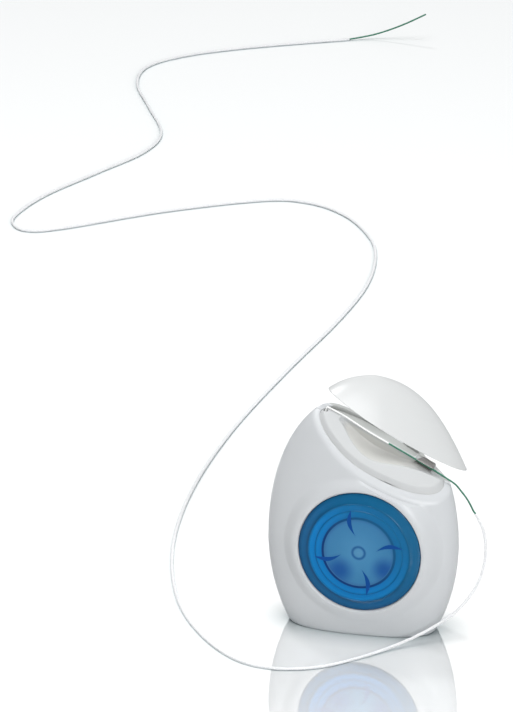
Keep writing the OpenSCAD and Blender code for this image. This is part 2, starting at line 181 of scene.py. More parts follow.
def finish_piece(ob, body, slot, nodes, *materials):
    """From mm to metres, with its materials, on its body and in place of its CAD nodes."""
    ob.data.transform(Matrix.Scale(0.001, 4))
    ob.data.materials.clear()
    for m in materials:
        ob.data.materials.append(m)
    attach(ob, body)
    if nodes:
        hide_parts(*nodes)
    return ob


def grid_faces(rows, columns, closed_rows=False, closed_columns=False):
    """Faces between rows of points, each row with the same number of points."""
    out = []
    for i in range(rows if closed_rows else rows - 1):
        for j in range(columns if closed_columns else columns - 1):
            a, b = i * columns + j, i * columns + (j + 1) % columns
            c, d = (i + 1) % rows * columns + (j + 1) % columns, (i + 1) % rows * columns + j
            out.append((a, b, c, d))
    return out


def smooth_route(points, steps):
    """Catmull-Rom curve through the points, with some steps for each stretch."""
    p = [np.array(q, float) for q in points]
    out = []
    for i in range(len(p) - 1):
        a, b, c, d = p[max(i - 1, 0)], p[i], p[i + 1], p[min(i + 2, len(p) - 1)]
        for k in range(steps):
            t = k / steps
            out.append(0.5 * (2 * b + (c - a) * t + (2 * a - 5 * b + 4 * c - d) * t * t
                              + (3 * b - a - 3 * c + d) * t ** 3))
    out.append(p[-1])
    return np.array(out)


def even_route(route, spacing):
    """The same route with its points at even distances."""
    lengths = np.concatenate([[0], np.cumsum(np.linalg.norm(np.diff(route, axis=0), axis=1))])
    s = np.linspace(0, lengths[-1], max(2, int(lengths[-1] / spacing) + 1))
    return np.stack([np.interp(s, lengths, route[:, k]) for k in range(3)], 1)


def tube(name, route, radius, sides=10, lump=0.0, seed=1):
    """Closed tube along a route, its radius varying a little where lump isn't 0."""
    n = len(route)
    t = np.gradient(route, axis=0)
    t /= np.linalg.norm(t, axis=1)[:, None]
    side = np.array([0.31, 0.95, 0.05])
    across = []
    for k in range(n):
        side = side - side.dot(t[k]) * t[k]
        side /= np.linalg.norm(side)
        across.append(side.copy())
    across = np.array(across)
    up = np.cross(t, across)
    rng = np.random.default_rng(seed)
    rad = np.full((n, sides), float(radius))
    if lump:
        wave = rng.normal(0, 1, (n, sides))
        for _ in range(3):
            wave = (wave + np.roll(wave, 1, 0) + np.roll(wave, -1, 0) + np.roll(wave, 1, 1)
                    + np.roll(wave, -1, 1)) / 5
        from_end = np.minimum(np.arange(n), n - 1 - np.arange(n))
        rad *= 1 + lump * wave / max(wave.std(), 1e-9) * np.minimum(1, from_end / 3)[:, None]
    ang = np.linspace(0, 2 * math.pi, sides, endpoint=False)
    ring = np.cos(ang)[None, :, None] * across[:, None] + np.sin(ang)[None, :, None] * up[:, None]
    verts = (route[:, None] + rad[:, :, None] * ring).reshape(-1, 3)
    verts = np.vstack([verts, route[0], route[-1]])
    faces = grid_faces(n, sides, closed_columns=True)
    faces += [(n * sides, (j + 1) % sides, j) for j in range(sides)]
    base = (n - 1) * sides
    faces += [(n * sides + 1, base + j, base + (j + 1) % sides) for j in range(sides)]
    return mesh_object(name, verts, faces)


def prism(name, polygon, low, high, place):
    """Polygon in the second and third axis, drawn out along the first, put in a frame by place(x, y, z)."""
    n = len(polygon)
    verts = [place(x, *q) for x in (low, high) for q in polygon]
    faces = [tuple(range(n))[::-1], tuple(range(n, 2 * n))]
    faces += [(i, (i + 1) % n, n + (i + 1) % n, n + i) for i in range(n)]
    return clean(mesh_object(name, verts, faces, False))


def block(name, lo, hi, place):
    """Box from its lowest to its highest corner, in a frame."""
    return prism(name, [(lo[1], lo[2]), (hi[1], lo[2]), (hi[1], hi[2]), (lo[1], hi[2])], lo[0], hi[0], place)


def revolve(name, profile, place, steps=128):
    """Profile of (radius, height) turned about the height axis; place(u, v, height)."""
    ang = np.linspace(0, 2 * math.pi, steps, endpoint=False)
    verts = [place(r * math.cos(a), r * math.sin(a), h) for r, h in profile for a in ang]
    hollow_ring = profile[0][0] > 0 and profile[-1][0] > 0
    return clean(mesh_object(name, verts, grid_faces(len(profile), steps, hollow_ring, True)))


def at_tips(x, y, z):
    """Frame of the line through the lid's two tips."""
    return MID + x * E1 + y * EY + z * E3


def at_rim(x, y, z):
    """Frame of the front rim's sloping plane."""
    return MID + x * E1 + y * RY + z * RZ


def at_window(u, v, w):
    """Frame of the window's axis: u to the right, v up, w forwards."""
    return np.array([WIN_X + u, -w, WIN_Z + v])


# ---------------------------------------------------------------- shape of the case
def girth(z, inset):
    """Share of the case's full width at a height."""
    above = np.clip(z - BELLY, 0, None) / (CROWN - inset)
    top = np.clip(1 - above ** CROWN_POWER, 0, None) ** (1 / CROWN_POWER)
    foot = np.sqrt(np.clip(1 - ((BELLY - z) / FOOT_SWEEP) ** 2, 0, None))
    return np.where(z > BELLY, top, foot)


def signed_pow(v, e):
    return np.sign(v) * np.abs(v) ** e


def case_point(z, inset, a, shrink=1.0, grip=0.0):
    """Point of the case's outside, or of a surface that lies inset in it, by height and angle round it."""
    z, a = np.broadcast_arrays(np.asarray(z, float), np.asarray(a, float))
    g = girth(z, inset)
    depth = np.where(z > BELLY, g, g + (1 - g) * 0.45)
    e = 2 / (2.5 - 0.9 * np.clip((z - 20) / 26, 0, 1))
    out = grip * np.clip(np.cos(a), 0, None) ** 4 * np.clip(1 - (z - GRIP_Z) / GRIP_H, 0, 1) ** 2
    return np.stack([out + (CASE_W / 2 - inset) * g * shrink * signed_pow(np.cos(a), e),
                     (CASE_D / 2 - inset) * depth * shrink * signed_pow(np.sin(a), e), z], -1)


def step(x, low, high):
    """Smooth step from 0 to 1."""
    t = np.clip((x - low) / (high - low), 0, 1)
    return t * t * (3 - 2 * t)


# How much the rear rim rises over its plane, by place along the tip line
REAR_AT = (-19.4, -17.8, -16.65, -15.4, -14, -12.7, -10.6, -8.5, 8, 11.6, 13.8, 16.1, 18)
REAR_LIFT = (0, 0.7, 1.55, 1.7, 1.6, 1.35, 1.0, 0.9, 0, -0.2, -0.45, -0.6, -0.2)


def rim_height(x, y, gap, tongue, middle, ears):
    """Height of the rim over the tip line, at a place along the line and a depth; heights by name behind."""
    front = y * math.tan(TILT) + gap / math.cos(TILT)
    back = y * math.tan(REAR_TILT) + gap / math.cos(REAR_TILT)
    back = back + np.interp(x, REAR_AT, REAR_LIFT) * np.clip(y / 0.8, 0, 1)
    w = 1 - step(np.abs(x), TONGUE_HALF + gap - 0.15, TONGUE_HALF + gap + 0.35)
    back = np.where(y > 0, back + w * (tongue - back), back)
    if ears is not None:
        near = 1 - step(np.abs(np.abs(x) - EAR_X), EAR_W / 2 + EAR_GAP - 0.1, EAR_W / 2 + EAR_GAP + 0.1)
        back = np.where(y > 2.5, back + near * (ears - back), back)
    if middle is not None:
        near = 1 - step(np.abs(x), KNUCKLE_HALF + EAR_GAP - 0.1, KNUCKLE_HALF + EAR_GAP + 0.1)
        back = np.where(y > 2.5, back + near * (middle - back), back)
    return np.where(y > 0, back, front)


def crossing(a, inset, grip, rim):
    """Height at which the case's column at each angle passes the rim."""
    z = np.concatenate([np.linspace(24, 50, 500), BELLY + (CROWN - inset) * np.sin(
        np.linspace(math.asin(28 / (CROWN - inset)), math.pi / 2, 400))[1:]])
    p = case_point(z[None], inset, a[:, None], 1.0, grip)
    rel = p - MID
    above = rel @ E3 - rim_height(rel @ E1, p[..., 1], *rim)
    k = np.argmax(above > 0, axis=1)
    r = np.arange(len(a))
    f = above[r, k - 1] / (above[r, k - 1] - above[r, k])
    return z[k - 1] + f * (z[k] - z[k - 1])


def bezier(a, c, b, n):
    """Rows of points on the curves from a to b that c pulls out."""
    t = np.linspace(0, 1, n)[:, None, None]
    return (1 - t) ** 2 * a + 2 * t * (1 - t) * c + t * t * b


def rounded_edge(outer_low, outer, inner, inner_low, r_out, r_in, n=6):
    """Rows round the top of a wall, from the outer surface over its edge to the inner surface."""
    across = inner - outer
    width = np.linalg.norm(across, axis=-1, keepdims=True)
    along = across / width
    down_o = outer_low - outer
    down_o /= np.linalg.norm(down_o, axis=-1, keepdims=True)
    down_i = inner_low - inner
    down_i /= np.linalg.norm(down_i, axis=-1, keepdims=True)
    ro, ri = np.minimum(r_out, width * 0.72), np.minimum(r_in, width * 0.24)
    first = bezier(outer + ro * down_o, outer, outer + ro * along, n)
    second = bezier(inner - ri * along, inner, inner + ri * down_i, n)
    return [*first, *second]


def shell_columns(a, rim, lip_out, lip_in):
    """Rows of points of the case's wall, one column for each angle: up outside, over the lip, down inside."""
    zo = crossing(a, 0, 0, rim)
    zi = crossing(a, WALL, 0, rim)
    rows = [case_point(0, 0, a, s) for s in (0.0, 0.35, 0.7, 0.9)]
    rows += [case_point(0.7 * (1 - math.cos(t)), 0, a, 1 - 0.03 * (1 - math.sin(t)))
             for t in np.linspace(0, math.pi / 2, 7)]
    n = 100
    rows += [case_point(0.7 + (zo - lip_out - 0.7) * k / n, 0, a) for k in range(1, n)]
    rows += rounded_edge(case_point(zo - lip_out, 0, a), case_point(zo, 0, a),
                         case_point(zi, WALL, a), case_point(zi - lip_in, WALL, a), lip_out, lip_in)
    n = 50
    rows += [case_point(WALL + (zi - lip_in - WALL) * (1 - k / n), WALL, a) for k in range(1, n + 1)]
    rows += [case_point(WALL, WALL, a, s) for s in (0.7, 0.35, 0.0)]
    return np.array(rows)


def half_shell(start, rim, lip_out, lip_in, side):
    """Rows and faces of one of the two shells; side is 1 behind the seam and -1 in front."""
    a = start + np.linspace(0, math.pi, 260)
    rows = shell_columns(a, rim, lip_out, lip_in)
    rows[..., 1] = side * np.maximum(side * rows[..., 1], 0) + side * SEAM
    r, c = rows.shape[:2]
    faces = grid_faces(r, c, closed_rows=True)
    faces += [tuple(k * c for k in range(r)), tuple(k * c + c - 1 for k in range(r))[::-1]]
    return rows, faces


# ---------------------------------------------------------------- materials
class Graph:
    """The nodes of a new material, with one short call for each kind of node that is used."""

    def __init__(self, name):
        self.mat = bpy.data.materials.new(name)
        self.mat.use_nodes = True
        self.nodes, self.links = self.mat.node_tree.nodes, self.mat.node_tree.links
        self.shader = self.nodes["Principled BSDF"].inputs
        self.place = self.new("TexCoord").outputs["Object"]

    def new(self, kind):
        return self.nodes.new("ShaderNode" + kind)

    def put(self, value, socket):
        """Gives a socket a number, a colour or the output of another node."""
        if isinstance(value, bpy.types.NodeSocket):
            self.links.new(value, socket)
        else:
            socket.default_value = value

    def noise(self, scale, detail=2.0, distortion=0.0, vector=None):
        node = self.new("TexNoise")
        for key, value in (("Scale", scale), ("Detail", detail), ("Distortion", distortion)):
            node.inputs[key].default_value = value
        self.links.new(vector or self.place, node.inputs["Vector"])
        return node.outputs["Fac"]

    def ramp(self, factor, stops):
        """Colour by a factor; stops are (position, (red, green, blue))."""
        node = self.new("ValToRGB")
        elements = node.color_ramp.elements
        elements.remove(elements[-1])
        elements[0].position, elements[0].color = stops[0][0], (*stops[0][1], 1)
        for position, colour in stops[1:]:
            elements.new(position).color = (*colour, 1)
        self.links.new(factor, node.inputs["Fac"])
        return node.outputs["Color"]

    def span(self, value, low, high, to_low=0.0, to_high=1.0, smooth=False):
        """A value between low and high taken to between to_low and to_high, and held beyond them."""
        node = self.new("MapRange")
        if smooth:
            node.interpolation_type = "SMOOTHSTEP"
        for key, at in (("From Min", low), ("From Max", high), ("To Min", to_low), ("To Max", to_high)):
            node.inputs[key].default_value = at
        self.links.new(value, node.inputs["Value"])
        return node.outputs["Result"]

    def math(self, operation, *values):
        node = self.new("Math")
        node.operation = operation
        for k, value in enumerate(values):
            self.put(value, node.inputs[k])
        return node.outputs[0]

    def hypot(self, x, y):
        return self.math("SQRT", self.math("ADD", self.math("POWER", x, 2.0), self.math("POWER", y, 2.0)))

    def along(self, direction):
        """How far a point of the surface lies along a direction, in metres."""
        node = self.new("VectorMath")
        node.operation = "DOT_PRODUCT"
        node.inputs[1].default_value = tuple(direction)
        self.links.new(self.place, node.inputs[0])
        return node.outputs["Value"]

    def mix(self, factor, first, second):
        node = self.new("Mix")
        node.data_type = "RGBA"
        for value, k in ((factor, 0), (first, 6), (second, 7)):
            self.put(value, node.inputs[k])
        return node.outputs[2]

    def bump(self, height, strength, distance):
        node = self.new("Bump")
        node.inputs["Strength"].default_value, node.inputs["Distance"].default_value = strength, distance
        self.links.new(height, node.inputs["Height"])
        self.links.new(node.outputs["Normal"], self.shader["Normal"])

    def surface(self, factor, first, second):
        """Ends the material in a blend of two shaders."""
        node = self.new("MixShader")
        self.put(factor, node.inputs["Fac"])
        self.links.new(first.outputs[0], node.inputs[1])
        self.links.new(second.outputs[0], node.inputs[2])
        self.links.new(node.outputs[0], self.nodes["Material Output"].inputs["Surface"])
        return self.mat


def plastic(name, colour, rough=0.3, specular=0.5, tones=None):
    """Moulded plastic: faint mottling of its colour and gloss, and a very fine orange peel.

    tones, where given, changes the colour from place to place, as painted light and shade.
    """
    g = Graph(name)
    cloud = g.noise(90, 4)
    mottled = g.ramp(cloud, [(0, [0.97 * c for c in colour]), (1, colour)])
    g.put(tones(g, mottled) if tones else mottled, g.shader["Base Color"])
    g.put(g.span(cloud, 0, 1, rough * 0.85, rough * 1.15), g.shader["Roughness"])
    g.put(specular, g.shader["Specular IOR Level"])
    g.bump(g.noise(2600, 2), 0.02, 0.0002)
    return g.mat


def thread(name, light, dark, rough=0.75, scale=3000, bumpy=0.5):
    """Fibres of a thread: fine streaks and fluff in colour and relief."""
    g = Graph(name)
    g.put(rough, g.shader["Roughness"])
    g.put(0.3, g.shader["Sheen Weight"])
    g.put(0.25, g.shader["Specular IOR Level"])
    fluff = g.noise(scale, 5, 0.8)
    g.put(g.ramp(fluff, [(0.3, dark), (0.62, light)]), g.shader["Base Color"])
    g.bump(fluff, bumpy, 0.0001)
    return g.mat


def steel(name):
    """Rolled sheet: fine lines along the clip in colour and gloss."""
    g = Graph(name)
    g.put(1.0, g.shader["Metallic"])
    stretch = g.new("Mapping")
    stretch.inputs["Scale"].default_value = (300, 6000, 6000)
    stretch.inputs["Rotation"].default_value = (0, SLOPE, 0)
    g.put(g.place, stretch.inputs["Vector"])
    lines = g.noise(1.0, 3, vector=stretch.outputs["Vector"])
    # The sheet's dark grey is partly its own colour and partly painted shade in place of the lid's shadow
    g.put(g.ramp(lines, [(0, (0.17, 0.16, 0.155)), (1, (0.42, 0.41, 0.4))]), g.shader["Base Color"])
    g.put(g.span(lines, 0, 1, 0.22, 0.42), g.shader["Roughness"])
    return g.mat


def deck_painted_light_and_shade(g, colour):
    """Painted light and shade: the bowl is lighter than the neck round it, and the flat top behind the floss darker
    still, in place of the lid's shadow.
    """
    neck, tip = float(MID @ RZ) / 1000, float(MID @ E3) / 1000
    on_neck = g.span(g.along(RZ), neck - 0.0012, neck + 0.0004, smooth=True)
    behind = g.span(g.along((0, 1, 0)), 0.00085, 0.0014, smooth=True)
    on_top = g.span(g.along(E3), tip + 0.0005, tip + 0.0011)
    return g.mix(g.math("MULTIPLY", behind, on_top), g.mix(on_neck, colour, (0.48, 0.49, 0.495, 1)),
                 (0.37, 0.38, 0.37, 1))


# Colours of the window by radius in mm: of the light that comes through it, and of its own surface. Both darken
# past about 12.1 mm, painted shade over the ledge behind the window's rim.
WINDOW_THROUGH = [
    (0, (0.32, 0.6, 0.81)), (8.3, (0.32, 0.6, 0.81)), (8.5, (0.05, 0.2, 0.42)), (8.9, (0.05, 0.2, 0.42)),
    (9.1, (0.1, 0.6, 0.9)), (12.0, (0.1, 0.6, 0.9)), (12.3, (0.15, 0.42, 0.61)), (14.7, (0.15, 0.42, 0.61))]
WINDOW_BODY = [
    (0, (0.104, 0.313, 0.522)), (1.0, (0.087, 0.296, 0.505)), (1.35, (0.0261, 0.131, 0.331)),
    (1.6, (0.0261, 0.131, 0.331)), (1.95, (0.074, 0.278, 0.496)), (7.6, (0.0522, 0.226, 0.435)),
    (8.35, (0.0435, 0.174, 0.383)), (8.45, (0.00348, 0.0435, 0.174)), (8.85, (0.00348, 0.0435, 0.174)),
    (9.05, (0.00348, 0.183, 0.505)), (10.0, (0.00348, 0.217, 0.557)), (10.35, (0.00348, 0.174, 0.435)),
    (10.5, (0.00522, 0.104, 0.261)), (10.7, (0.00348, 0.2, 0.522)), (11.7, (0.00348, 0.226, 0.574)),
    (12.1, (0.00522, 0.148, 0.365)), (12.35, (0.0104, 0.0783, 0.174)), (12.9, (0.0105, 0.12, 0.29)),
    (13.7, (0.0105, 0.13, 0.31)), (14.3, (0.0105, 0.1, 0.24)), (14.7, (0.0105, 0.075, 0.18))]
CENTRE_SHARE = 0.56         # of the window's radius, where the centre disc ends
PAINTED_SHADE_LOBES = ((-0.0046, -0.0048, 0.0046), (0.0062, -0.0038, 0.0042))     # painted shade: place and size of two dark patches in the centre disc, in metres


def window_plastic(name):
    """Clear blue plastic: what lies behind shows through its colour, which changes with the radius."""
    g = Graph(name)
    dx = g.math("SUBTRACT", g.along((1, 0, 0)), WIN_X / 1000)
    dz = g.math("SUBTRACT", g.along((0, 0, 1)), WIN_Z / 1000)
    share = g.math("DIVIDE", g.hypot(dx, dz), WIN_R / 1000)
    through, body = ([(r / WIN_R, colour) for r, colour in stops] for stops in (WINDOW_THROUGH, WINDOW_BODY))
    # Painted shade: two soft dark patches low in the centre disc, mixed towards a darker blue
    shade_lobes = [g.span(g.hypot(g.math("SUBTRACT", dx, u), g.math("SUBTRACT", dz, v)), 0.0004, size, 1.0, 0.0, True)
             for u, v, size in PAINTED_SHADE_LOBES]
    centre = g.span(share, CENTRE_SHARE + 0.01, CENTRE_SHARE - 0.01)
    slant = g.span(g.math("ADD", g.math("MULTIPLY", dx, 0.75), g.math("MULTIPLY", dz, 0.65)),
                   -0.006, 0.011, 0.0, 0.7, True)
    outside = g.math("SUBTRACT", 1.0, centre)
    teal = g.mix(g.math("MULTIPLY", outside, slant), g.ramp(share, body), (0.008, 0.14, 0.29, 1))
    blue = g.mix(g.math("MULTIPLY", g.math("MAXIMUM", *shade_lobes), centre), teal, (0.012, 0.1, 0.34, 1))
    g.put(blue, g.shader["Base Color"])
    g.put(g.span(g.noise(260), 0, 1, 0.16, 0.24), g.shader["Roughness"])
    g.put(0.18, g.shader["Specular IOR Level"])
    clear = g.new("BsdfTransparent")
    g.put(g.ramp(share, through), clear.inputs["Color"])
    return g.surface(0.3, g.nodes["Principled BSDF"], clear)


WHITE = plastic("shell_white", (0.515, 0.53, 0.545), rough=0.32, specular=0.35)
LID_WHITE = plastic("lid_white", (0.52, 0.53, 0.53), rough=0.3, specular=0.35)
# The deck's white: painted light in its bowl, painted shade on its neck and behind the floss
DECK_WHITE = plastic("deck_white", (0.62, 0.62, 0.6), rough=0.35, specular=0.3, tones=deck_painted_light_and_shade)
# A darker copy of the shell's white: painted shade for the tongue's inner wall
SHADED_INNER_WHITE = plastic("inner_white_painted_shade", (0.4, 0.41, 0.4), rough=0.4, specular=0.2)
BOBBIN_WHITE = plastic("bobbin_white", (0.86, 0.87, 0.88), rough=0.4)
STEEL = steel("clip_steel")
FLOSS = thread("floss_white", (0.9, 0.9, 0.89), (0.74, 0.75, 0.75), scale=5200, bumpy=0.4)
# The strand is greyer than the floss at the top: painted shade, so that it stands out from the white floor
SPONGE = thread("floss_sponge", (0.76, 0.765, 0.77), (0.6, 0.61, 0.63), scale=3800, bumpy=0.6)
GREEN = thread("threader_green", (0.045, 0.2, 0.13), (0.012, 0.085, 0.05), rough=0.6, scale=6000)
BLUE = window_plastic("window_blue")
INK = plastic("window_fin", (0.003, 0.055, 0.24), rough=0.5, specular=0.08)

# ---------------------------------------------------------------- the cords
near = tube("floss_near_end", smooth_route(NEAR, 8), GREEN_R, 10, 0.03, 3)
finish_piece(near, "case", "threader_green", ["threader_near"], GREEN)
tail = tube("floss_far_end", smooth_route(TAIL, 12), GREEN_R, 10, 0.03, 4)
finish_piece(tail, "case", "threader_green", ["threader_tail"], GREEN)
free_path = even_route(smooth_route(FREE, 12), 0.45)
free = tube("floss_strand", free_path, FLOSS_R, 10, 0.035, 5)
finish_piece(free, "case", "floss_sponge", ["floss_free"], SPONGE)
free.visible_glossy = False     # the floor shows no mirror image of the floss
lead = tube("floss_top_end", even_route(smooth_route(LEAD, 8), 0.12), LEAD_R, 10, 0.03, 6)
finish_piece(lead, "case", "floss_white", ["floss_lead"], FLOSS)

# ---------------------------------------------------------------- rear shell
# A rim is its gap from the plane, and its heights over the tip line at the tongue, between the ears and at them
rows, faces = half_shell(0, (0, TONGUE_TOP, HINGE_Z - KNUCKLE_R - 0.3, None), 0.35, 0.3, 1)
rear_wall = sharp_by_angle(clean(mesh_object("rear_wall", rows.reshape(-1, 3), faces), 1e-3), 50)
parts = [rear_wall]


def bar(name, x0, x1, r, bore=0.0):
    """Round bar along the hinge's axis, with softened ends."""
    soft = min(0.2, (x1 - x0) / 4)
    profile = [(bore, x0), (r - soft, x0), (r - soft * 0.3, x0 + soft * 0.3), (r, x0 + soft),
               (r, x1 - soft), (r - soft * 0.3, x1 - soft * 0.3), (r - soft, x1), (bore, x1)]
    return revolve(name, profile, lambda u, v, w: at_tips(w, HINGE_Y + u, HINGE_Z + v), 48)


for s in (-1, 1):
    x0 = s * EAR_X - EAR_W / 2
    parts.append(sharp_by_angle(bar("ear", x0, x0 + EAR_W, KNUCKLE_R, BORE_R), 40))
    web = block("web", (x0, HINGE_Y - 0.6, HINGE_Z - 3.4), (x0 + EAR_W, HINGE_Y + 0.6, HINGE_Z - 0.6), at_tips)
    parts.append(bevel(web, 0.25))
spindle = [(0, -7.4), (3.4, -7.4), (3.4, -5.65), (1.4, -5.6), (1.4, 6.35), (1.2, 6.7), (0.7, 6.75), (0, 6.75)]
parts.append(sharp_by_angle(revolve("spindle", spindle, at_window, 64), 40))
for x, z, reach in POSTS:
    socket = revolve("socket", [(0.93, 0.06), (1.65, 0.06), (1.8, 0.2), (1.8, reach), (0.93, reach)],
                     lambda u, v, w: np.array([x + u, w, z + v]), 40)
    parts.append(sharp_by_angle(socket, 40))
rear = join("rear_case", parts)
finish_piece(rear, "case", "shell_white", ["rear_shell"], WHITE, SHADED_INNER_WHITE)
# The tongue's inner wall, behind the deck, takes the darker white: painted shade in place of the lid's shadow.
for face in rear.data.polygons:
    at = np.array(face.center[:]) * 1000 - MID
    if face.normal[1] < -0.2 and abs(at @ E1) < 17.5 and -1 < at @ E3 < 3.4 and 1.2 < at[1] < 6.5:
        face.material_index = 1

# ---------------------------------------------------------------- front shell with the raised ring of the window
rows, faces = half_shell(math.pi, (0, TONGUE_TOP, None, None), 1.0, 0.3, -1)
r_win = np.hypot(rows[..., 0] - WIN_X, rows[..., 2] - WIN_Z)
outer = np.zeros(rows.shape[:2], bool)
outer[4:110] = True         # the rows of the outside, without the foot and the lip
# A low dome round the window, which runs smoothly into the case
dome = -(8.35 - 1.25 * (np.clip(r_win - 15.3, 0, None) / 2) ** 2)
blend = 2.0
share = np.clip(0.5 + 0.5 * (rows[..., 1] - dome) / blend, 0, 1)
lifted = rows[..., 1] * (1 - share) + dome * share - blend * share * (1 - share)
rows[..., 1] = np.where(outer & (r_win < 22), lifted, rows[..., 1])
front = clean(mesh_object("front_case", rows.reshape(-1, 3), faces), 1e-3)
ring = revolve("ring", [(HOLE_R, 5.6), (15.7, 5.6), (16.6, 6.2), (16.6, 6.9), (HOLE_R, 6.9)], at_window, 160)
boolean(front, ring, "UNION")
boolean(front, revolve("hole", [(0, 2.6), (HOLE_R, 2.6), (HOLE_R, 14), (0, 14)], at_window, 160))
seat = [(0, 7.0), (14.76, 7.0), (14.76, 8.1), (14.84, 8.25), (15.05, 8.45), (15.7, 9), (0, 9)]
boolean(front, revolve("seat", seat, at_window, 160))
sharp_by_angle(front, 32)
front.data.shade_smooth()
posts = []
for x, z, reach in POSTS:
    posts.append(sharp_by_angle(revolve("post", [(0, -2.6), (0.7, -2.6), (0.9, -2.4), (0.9, reach), (0, reach)],
                                        lambda u, v, w: np.array([x + u, -w, z + v]), 32), 40))
front = join("front_case", [front, *posts])
finish_piece(front, "case", "shell_white", ["front_shell"], WHITE)

# ---------------------------------------------------------------- lid
angles = np.linspace(0, 2 * math.pi, 480, endpoint=False)
lid_rim = (LID_GAP, TONGUE_TOP + LID_GAP, None, HINGE_Z + KNUCKLE_R + 0.3)
zo, zi = crossing(angles, 0, LID_GRIP, lid_rim), crossing(angles, LID_WALL, LID_GRIP, lid_rim)


def lid_row(share, z_rim, inset):
    """Ring of points on the lid, from its rim at 0 to its crown at 1."""
    top = CROWN - inset
    t0 = np.arcsin(np.clip((z_rim - BELLY) / top, 0, 1))
    t = t0 + (math.pi / 2 - t0) * share
    return case_point(BELLY + top * np.sin(t), inset, angles, 1.0, LID_GRIP)


rows = [lid_row(1 - k / 70, zo, 0) for k in range(69)]
rows += rounded_edge(lid_row(0.03, zo, 0), lid_row(0, zo, 0), lid_row(0, zi, LID_WALL), lid_row(0.03, zi, LID_WALL),
                     0.4, 0.3)
rows += [lid_row(k / 40, zi, LID_WALL) for k in range(2, 41)]
rows = np.array(rows)
cap = mesh_object("cap", rows.reshape(-1, 3), grid_faces(len(rows), len(angles), closed_columns=True))
cap = boolean(clean(cap, 1e-3), block("notch", (15, -0.5, -1.4), (30, 0.8, 1.4), at_tips))
lug = block("lug", (-KNUCKLE_HALF, HINGE_Y - 1.65, HINGE_Z), (KNUCKLE_HALF, HINGE_Y, HINGE_Z + 1.8), at_tips)
lid = join("lid_cap", [sharp_by_angle(cap, 50), bevel(lug, 0.25),
                       sharp_by_angle(bar("knuckle", -KNUCKLE_HALF, KNUCKLE_HALF, KNUCKLE_R), 40),
                       sharp_by_angle(bar("trunnion", -TRUNNION_HALF, TRUNNION_HALF, TRUNNION_R), 40)])
# Made shut, then turned about its hinge to where it is at rest
frame_tip = np.stack([E1, EY, E3])
pts = np.array([v.co[:] for v in lid.data.vertices])
local = (pts - MID) @ frame_tip.T - [0, HINGE_Y, HINGE_Z]
c, s = math.cos(LID_OPEN), math.sin(LID_OPEN)
local = np.stack([local[:, 0], c * local[:, 1] + s * local[:, 2], -s * local[:, 1] + c * local[:, 2]], 1)
pts = (local + [0, HINGE_Y, HINGE_Z]) @ frame_tip + MID
lid.data.vertices.foreach_set("co", pts.ravel())
lid.data.update()
finish_piece(lid, "lid", "shell_white", ["lid"], LID_WHITE)
lid.visible_shadow = False      # thin plastic lets the light through to the deck behind the floss


# ---------------------------------------------------------------- deck with the finger hollow
def inner_egg(inset, lift, sides=220, levels=90):
    """The room inside the case, down to a height over the foot."""
    a = np.linspace(0, 2 * math.pi, sides, endpoint=False)
    rows = [case_point(lift, inset, a, s) for s in (0.0, 0.5, 0.97)]
    rows += [case_point(lift + (BELLY - lift) * k / 30, inset, a) for k in range(1, 31)]
    rows += [case_point(BELLY + (CROWN - inset) * math.sin(math.pi / 2 * k / levels), inset, a)
             for k in range(1, levels + 1)]
    rows = np.array(rows)
    rows[-1, :, :2] = 0
    return clean(mesh_object("egg", rows.reshape(-1, 3), grid_faces(len(rows), sides, closed_columns=True)), 1e-3)


def below_neck(low, high):
    """Plate between two heights over the rim: tilted in front of the tips and level behind them."""
    k = 1 / math.cos(TILT)
    far = 30 * math.tan(TILT)
    return prism("plate", [(0, high * k), (20, high * k), (20, low * k), (0, low * k), (-30, low * k - far),
                           (-30, high * k - far)], -25, 25, at_tips)


# Radius of the finger's bowl by place along the tip line
BOWL = [(-11.8, 0.4), (-10.4, 1.25), (-9, 2.35), (-7.4, 3.3), (-6, 4.05), (-4.5, 4.75), (-3, 5.15), (-1.2, 5.3),
        (0.5, 4.95), (2.4, 4.2), (4.9, 3.05), (7.4, 2.1), (10.7, 1.25), (12.6, 0.95), (14.9, 0.75), (16.4, 0.5)]


def hollow(wider):
    """The finger's bowl, or a wider one for its wall."""
    xs = np.linspace(-11.8, 16.4, 60)
    rs = np.interp(xs, *zip(*BOWL))
    rs = np.convolve(np.pad(rs, 3, mode="edge"), np.ones(7) / 7, "valid")
    profile = [(0, -12.3 - wider)] + [(r + wider, x) for x, r in zip(xs, rs)] + [(0, 16.9 + wider)]
    ob = revolve("hollow", profile, lambda u, v, w: at_rim(w, 0.3 + u, 1 + v), 120)
    return boolean(ob, block("front_part", (-30, -30, -30), (30, 0.9 + wider, 30), at_rim), "INTERSECT")


deck = boolean(below_neck(-1.5, 0.9), boolean(hollow(1.2), below_neck(-20, 0), "INTERSECT"), "UNION")
deck = boolean(deck, block("seat", (7.7, 0.9, 0.2), (12.9, 2.6, 0.8), at_rim), "UNION")
deck = boolean(deck, inner_egg(WALL + 0.01, WALL), "INTERSECT")
deck = boolean(deck, hollow(0))
deck = boolean(deck, revolve("room", [(0, 5.4), (18, 5.4), (18, 16), (0, 16)], at_window, 160))
hole_from, hole_to = np.array(LEAD[2]), np.array(LEAD[5])
hole_to = hole_to + (hole_to - hole_from) * 0.12
deck = boolean(deck, tube("exit", np.linspace(hole_from, hole_to, 6), 0.6, 28))
deck = boolean(deck, block("pocket", (7.9, 0.0, 0.5), (12.7, 2.4, 2.0), at_rim))
groove_from, groove_to = np.array(NEAR[3]), np.array(NEAR[4])
groove_to = groove_to + (groove_to - groove_from) * 0.7
deck = boolean(deck, tube("groove", np.linspace(groove_from, groove_to, 5), 0.5, 24))
deck.name = "deck"
soften(deck, 0.13, 22)
finish_piece(deck, "case", "deck_white", ["top_deck"], DECK_WHITE)


